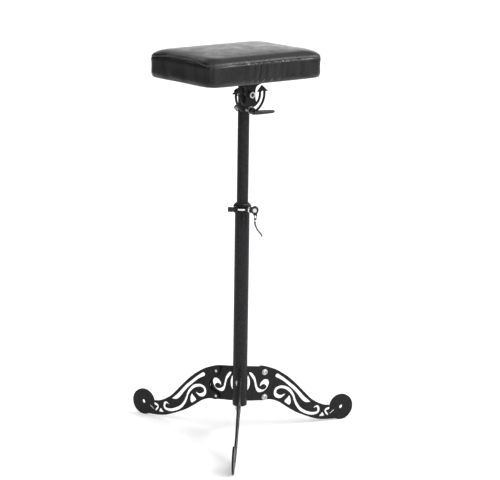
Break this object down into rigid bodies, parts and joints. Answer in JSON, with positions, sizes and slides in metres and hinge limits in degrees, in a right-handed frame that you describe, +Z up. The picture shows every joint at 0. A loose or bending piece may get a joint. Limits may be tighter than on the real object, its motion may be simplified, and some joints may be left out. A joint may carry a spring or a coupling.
{
  "type": "arm rest stand",
  "caption": "Arm rest stand: a padded cushion that tilts on a telescoping post with quick-release clamp, on scrolled flat-plate tripod legs.",
  "frame": {"origin": "on the floor, on the post's axis", "axes": "+Z up along the post; the front leg points to -Y, the other two to 30 and 150 degrees"},
  "size_m": [0.5016, 0.4845, 0.8572],
  "materials": {
    "painted_steel": "satin black powder coat",
    "black_plastic": "fine-textured black",
    "steel": "bright turned steel",
    "nylon": "natural white",
    "board": "plain plywood",
    "cover": "semi-gloss grained black"
  },
  "bodies": {
    "base": {"outer_tube": "painted_steel", "tube_end_plug": "black_plastic", "guide_bush": "black_plastic", "wing_front": "painted_steel", "wing_right": "painted_steel", "wing_left": "painted_steel", "leg_front": "painted_steel", "leg_right": "painted_steel", "leg_left": "painted_steel", "leg_bolts": "steel", "clamp_collar": "painted_steel", "clamp_rod": "steel", "clamp_washer": "steel", "clamp_seat": "black_plastic", "clamp_pin": "steel"},
    "clamp_nut": {"clamp_nut": "black_plastic"},
    "clamp_lever": {"clamp_lever": "painted_steel"},
    "slider": {"lower_glide": "black_plastic"},
    "post": {"inner_tube": "painted_steel", "tube_top_cap": "black_plastic", "pivot_sleeve": "steel", "clamp_sleeve": "steel", "pivot_bolt": "steel", "pivot_nut": "steel", "pivot_washers": "steel", "friction_washer": "nylon", "clamp_stud": "painted_steel", "stud_washers": "steel"},
    "head": {"tilt_bracket": "painted_steel", "board_screws": "steel", "cushion_board": "board", "cushion": "cover"},
    "tilt_lever": {"tilt_lever": "black_plastic", "tilt_lever_insert": "steel"}
  },
  "joints": [
    {"name": "height", "type": "slide", "parent": "base", "child": "slider", "axis": [0, 0, 1], "range_m": [-0.13, 0.17]},
    {"name": "swivel", "type": "hinge", "parent": "slider", "child": "post", "pos_m": [0, 0, 0.3], "axis": [0, 0, 1], "continuous": true},
    {"name": "tilt", "type": "hinge", "parent": "post", "child": "head", "pos_m": [0, 0, 0.7625], "axis": [-0.6769, 0.7361, 0], "range_deg": [-50, 50]},
    {"name": "tilt_lever_turn", "type": "hinge", "parent": "post", "child": "tilt_lever", "pos_m": [0.01963, -0.02135, 0.7295], "axis": [-0.6769, 0.7361, 0], "range_deg": [0, 90]},
    {"name": "clamp_lever_open", "type": "hinge", "parent": "base", "child": "clamp_lever", "pos_m": [0.02833, -0.024, 0.514], "axis": [-0.0175, -0.9998, 0], "range_deg": [0, 120]},
    {"name": "clamp_nut_turn", "type": "hinge", "parent": "base", "child": "clamp_nut", "pos_m": [-0.02241, -0.02311, 0.514], "axis": [0.9998, -0.0175, 0], "continuous": true}
  ]
}
